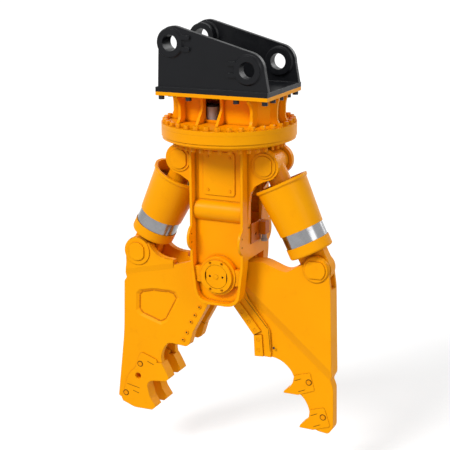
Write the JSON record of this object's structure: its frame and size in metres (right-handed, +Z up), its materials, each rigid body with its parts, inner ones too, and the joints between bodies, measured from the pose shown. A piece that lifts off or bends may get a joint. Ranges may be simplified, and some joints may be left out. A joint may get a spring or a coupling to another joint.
{
  "type": "hydraulic demolition shear",
  "caption": "Hydraulic demolition shear with a carrier bracket, slewing ring, frame and toothed jaws that cylinders drive shut about one main pin.",
  "frame": {"origin": "centre of the stick pin bore, on the mid-plane between the bracket's ears", "axes": "+Z up the slewing axis towards the carrier, +Y along the carrier and jaw pins towards the rear, +X from the stick pin towards the link pin"},
  "size_m": [1.667, 0.928, 2.8435],
  "materials": {
    "ball_steel": "polished",
    "bare_steel": "turned",
    "black_paint": "satin near-black",
    "blade_steel": "ground",
    "bolt_black": "black oxide",
    "bolt_yellow": "painted over",
    "bronze": "machined bronze",
    "brown_block": "satin",
    "dark_cap": "satin black",
    "grey_paint": "satin grey",
    "race_steel": "ground",
    "rod_chrome": "hard chrome",
    "yellow_paint": "semi-gloss safety yellow"
  },
  "bodies": {
    "carrier": {"bracket_base_plate": "black_paint", "bracket_front_ear": "black_paint", "bracket_rear_ear": "black_paint", "bracket_bolts": "bolt_black", "housing_top_plate": "yellow_paint", "housing_drum": "yellow_paint", "housing_flange": "yellow_paint", "housing_bolts": "bolt_yellow", "ring_outer_race": "yellow_paint", "rotation_motor": "grey_paint", "motor_cap": "dark_cap", "oil_swivel": "grey_paint"},
    "frame": {"ring_inner_race": "race_steel", "ring_balls": "ball_steel", "turntable_flange": "yellow_paint", "turntable_bolts": "bolt_yellow", "frame_front": "yellow_paint", "frame_rear": "yellow_paint", "frame_front_ears": "yellow_paint", "frame_rear_ears": "yellow_paint", "frame_left_wall": "yellow_paint", "frame_right_wall": "yellow_paint", "inspection_covers": "yellow_paint", "cover_screws": "bolt_yellow", "main_pin": "bare_steel", "hub_caps": "yellow_paint", "hub_cap_bolts": "bolt_yellow", "upper_pin_left": "yellow_paint", "upper_pin_right": "yellow_paint", "port_block_left": "brown_block", "port_block_right": "brown_block", "port_stub_left": "grey_paint", "port_stub_right": "grey_paint", "thrust_washers": "bronze"},
    "left_jaw": {"left_jaw_front_plate": "yellow_paint", "left_jaw_rear_plate": "yellow_paint", "left_jaw_spine": "yellow_paint", "left_front_claw": "yellow_paint", "left_rear_claw": "yellow_paint", "left_jaw_blades": "blade_steel", "left_blade_bolts": "bolt_black", "left_claw_pins": "bolt_yellow", "left_jaw_pin": "yellow_paint", "left_jaw_bushes": "bronze"},
    "right_jaw": {"right_jaw_body": "yellow_paint", "right_jaw_blades": "blade_steel", "right_blade_bolts": "bolt_black", "right_upper_tooth": "yellow_paint", "right_lower_tooth": "yellow_paint", "right_tooth_pins": "bolt_yellow", "right_jaw_pin": "yellow_paint", "right_jaw_bush": "bronze"},
    "left_rod_side": {"left_rod": "rod_chrome"},
    "left_barrel_side": {"left_barrel": "bare_steel", "left_guard": "yellow_paint", "left_end_cap": "yellow_paint"},
    "right_rod_side": {"right_rod": "rod_chrome"},
    "right_barrel_side": {"right_barrel": "bare_steel", "right_guard": "yellow_paint", "right_end_cap": "yellow_paint"}
  },
  "joints": [
    {"name": "slewing", "type": "hinge", "parent": "carrier", "child": "frame", "pos_m": [0.294, 0, -0.603], "axis": [0, 0, 1], "continuous": true},
    {"name": "left_close", "type": "hinge", "parent": "frame", "child": "left_jaw", "pos_m": [0.294, 0, -1.598], "axis": [0, -1, 0], "range_deg": [0, 27]},
    {"name": "right_close", "type": "hinge", "parent": "frame", "child": "right_jaw", "pos_m": [0.294, 0, -1.598], "axis": [0, 1, 0], "range_deg": [0, 27]},
    {"name": "left_swing", "type": "hinge", "parent": "frame", "child": "left_rod_side", "pos_m": [-0.024, 0, -0.809], "axis": [0, -1, 0], "range_deg": [0, 9.1]},
    {"name": "left_extend", "type": "slide", "parent": "left_rod_side", "child": "left_barrel_side", "axis": [-0.4452, 0, -0.8954], "range_m": [0, 0.28]},
    {"name": "right_swing", "type": "hinge", "parent": "frame", "child": "right_rod_side", "pos_m": [0.612, 0, -0.809], "axis": [0, 1, 0], "range_deg": [0, 9.1]},
    {"name": "right_extend", "type": "slide", "parent": "right_rod_side", "child": "right_barrel_side", "axis": [0.4452, 0, -0.8954], "range_m": [0, 0.28]}
  ],
  "couplings": [
    {"joint": "left_swing", "follows": "left_close", "ratio": 0.3326},
    {"joint": "left_extend", "follows": "left_close", "m_per_rad": 0.5864},
    {"joint": "right_swing", "follows": "right_close", "ratio": 0.3326},
    {"joint": "right_extend", "follows": "right_close", "m_per_rad": 0.5864}
  ]
}
